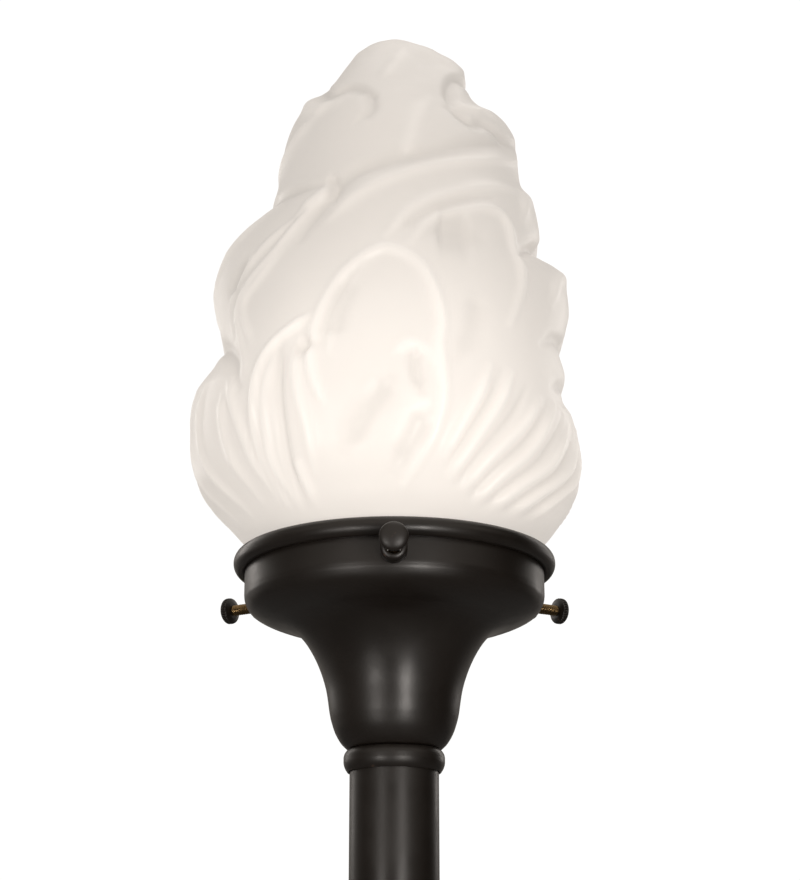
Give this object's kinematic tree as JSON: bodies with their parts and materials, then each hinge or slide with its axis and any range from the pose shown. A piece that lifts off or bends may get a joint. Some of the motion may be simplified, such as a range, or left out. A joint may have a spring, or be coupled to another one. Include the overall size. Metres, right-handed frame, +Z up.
{
  "type": "garden torch light",
  "caption": "Electric garden torch: a flame-shaped glass shade held by thumbscrews in a bell holder, on a pole with a finned ground stake.",
  "frame": {"origin": "on the pole's axis at ground level, the underside of the stake's flange", "axes": "+Z up along the pole, -Y towards the front thumbscrew, +X to the right seen from the front"},
  "size_m": [0.1458, 0.147, 0.7972],
  "materials": {
    "dark_bronze": "satin near-black bronze paint",
    "brass": "bright brass",
    "steel": "zinc plated",
    "copper": "bright copper",
    "black_plastic": "moulded, fine texture",
    "rubber": "matt",
    "nylon": "natural nylon",
    "fibre": "pressed fibre paper",
    "porcelain": "glazed",
    "opal_glass": "frosted opal, lit warm",
    "frosted_glass": "frosted",
    "clear_glass": "clear",
    "filament": "coiled tungsten",
    "white_insulation": "extruded"
  },
  "bodies": {
    "root": {"ground_stake": "black_plastic", "pole_clamp_screw": "steel", "pole_tube": "dark_bronze", "cable_grommet": "rubber", "pole_top_bushing": "steel", "neck_collar": "dark_bronze", "lamp_nipple": "steel", "nipple_lock_washer": "steel", "nipple_hex_nut": "steel", "socket_spacer": "brass", "shade_holder": "dark_bronze", "front_screw_boss": "dark_bronze", "right_screw_boss": "dark_bronze", "left_screw_boss": "dark_bronze", "shade_gasket": "rubber", "socket_cap": "brass", "socket_shell": "brass", "socket_liner": "fibre", "socket_body": "porcelain", "centre_contact": "brass", "socket_screw_shell": "copper", "line_terminal": "brass", "neutral_terminal": "steel", "line_lead": "black_plastic", "neutral_lead": "white_insulation"},
    "shade": {"flame_shade": "opal_glass"},
    "bulb": {"bulb_tip_contact": "steel", "bulb_insulator": "black_plastic", "bulb_base": "steel", "bulb_glass": "frosted_glass", "bulb_stem": "clear_glass", "bulb_filament": "filament", "left_filament_support": "steel", "right_filament_support": "steel"},
    "front_pad": {"front_screw_pad": "nylon"},
    "front_screw": {"front_thumbscrew": "dark_bronze"},
    "right_pad": {"right_screw_pad": "nylon"},
    "right_screw": {"right_thumbscrew": "dark_bronze"},
    "left_pad": {"left_screw_pad": "nylon"},
    "left_screw": {"left_thumbscrew": "dark_bronze"}
  },
  "joints": [
    {"name": "shade_lift", "type": "slide", "parent": "root", "child": "shade", "axis": [0, 0, 1], "range_m": [0, 0.12]},
    {"name": "bulb_unscrew", "type": "slide", "parent": "root", "child": "bulb", "axis": [0, 0, 1], "range_m": [0, 0.024]},
    {"name": "front_screw_travel", "type": "slide", "parent": "root", "child": "front_pad", "axis": [0, -1, 0], "range_m": [0, 0.00595]},
    {"name": "front_screw_turn", "type": "hinge", "parent": "front_pad", "child": "front_screw", "pos_m": [0, -0.06, 0.4074], "axis": [0, -1, 0], "range_deg": [0, 2700]},
    {"name": "right_screw_travel", "type": "slide", "parent": "root", "child": "right_pad", "axis": [0.866, 0.5, 0], "range_m": [0, 0.00595]},
    {"name": "right_screw_turn", "type": "hinge", "parent": "right_pad", "child": "right_screw", "pos_m": [0.05196, 0.03, 0.4074], "axis": [0.866, 0.5, 0], "range_deg": [0, 2700]},
    {"name": "left_screw_travel", "type": "slide", "parent": "root", "child": "left_pad", "axis": [-0.866, 0.5, 0], "range_m": [0, 0.00595]},
    {"name": "left_screw_turn", "type": "hinge", "parent": "left_pad", "child": "left_screw", "pos_m": [-0.05196, 0.03, 0.4074], "axis": [-0.866, 0.5, 0], "range_deg": [0, 2700]}
  ],
  "couplings": [
    {"joint": "front_screw_turn", "follows": "front_screw_travel", "rad_per_m": 7915},
    {"joint": "right_screw_turn", "follows": "right_screw_travel", "rad_per_m": 7915},
    {"joint": "left_screw_turn", "follows": "left_screw_travel", "rad_per_m": 7915}
  ]
}
